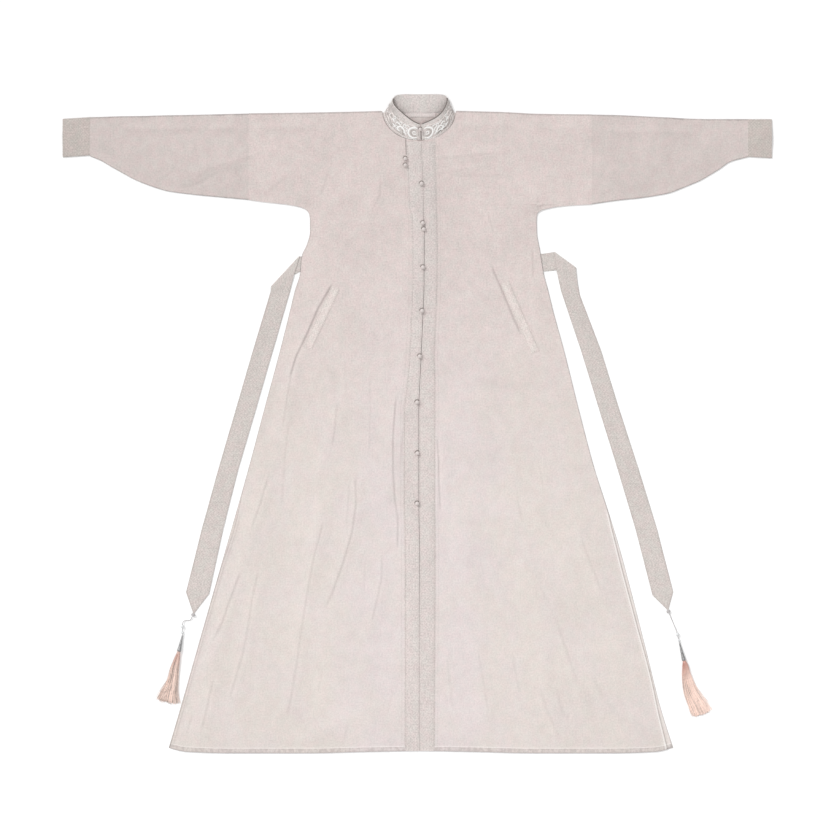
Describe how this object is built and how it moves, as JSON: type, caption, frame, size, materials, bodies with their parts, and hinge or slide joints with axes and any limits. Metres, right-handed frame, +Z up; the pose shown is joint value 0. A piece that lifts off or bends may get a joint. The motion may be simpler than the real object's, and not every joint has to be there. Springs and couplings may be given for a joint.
{
  "type": "hanfu robe",
  "caption": "Long front-opening robe with a standing collar, pipa-shaped sleeves, side slits and tasselled side ties, laid flat face up.",
  "frame": {"origin": "middle of the robe's outline, on the surface that it lies on", "axes": "+Z up out of the surface it lies on, +Y from the hem towards the collar, +X towards the wearer's left sleeve"},
  "size_m": [1.518, 1.4102, 0.02],
  "materials": {
    "body_cloth": "plain linen-like weave, pale pinkish grey",
    "sleeve_cloth": "plain linen-like weave, a little darker",
    "trim_cloth": "slightly textured grey-beige trim cloth",
    "collar_cloth": "embroidered with pale silver thread",
    "button_pearl": "small pearly knobs",
    "loop_thread": "twisted cord",
    "silver": "polished white metal",
    "crystal": "clear faceted beads",
    "silver_thread": "twisted silver-grey cord",
    "peach_silk": "lustrous silk threads"
  },
  "bodies": {
    "root": {"back": "body_cloth", "band_left": "trim_cloth", "band_right": "trim_cloth", "bead_large_left": "crystal", "bead_large_right": "crystal", "bead_small_left": "crystal", "bead_small_right": "crystal", "button_chest": "button_pearl", "button_hip_a": "button_pearl", "button_hip_b": "button_pearl", "button_neck": "button_pearl", "button_side_a": "button_pearl", "button_side_b": "button_pearl", "button_skirt_a": "button_pearl", "button_skirt_b": "button_pearl", "button_upper_a": "button_pearl", "button_upper_b": "button_pearl", "button_waist_a": "button_pearl", "button_waist_b": "button_pearl", "cap_left": "silver", "cap_right": "silver", "collar": "collar_cloth", "cord_left": "silver_thread", "cord_right": "silver_thread", "cuff_left": "trim_cloth", "cuff_right": "trim_cloth", "front_left": "body_cloth", "front_right": "body_cloth", "knot_left": "silver_thread", "knot_right": "silver_thread", "loop_chest": "loop_thread", "loop_hip_a": "loop_thread", "loop_hip_b": "loop_thread", "loop_neck": "loop_thread", "loop_side_a": "loop_thread", "loop_side_b": "loop_thread", "loop_skirt_a": "loop_thread", "loop_skirt_b": "loop_thread", "loop_upper_a": "loop_thread", "loop_upper_b": "loop_thread", "loop_waist_a": "loop_thread", "loop_waist_b": "loop_thread", "pocket_left": "body_cloth", "pocket_right": "body_cloth", "sleeve_left": "sleeve_cloth", "sleeve_right": "sleeve_cloth", "tassel_left": "peach_silk", "tassel_right": "peach_silk", "tie_left": "trim_cloth", "tie_right": "trim_cloth"}
  },
  "joints": []
}
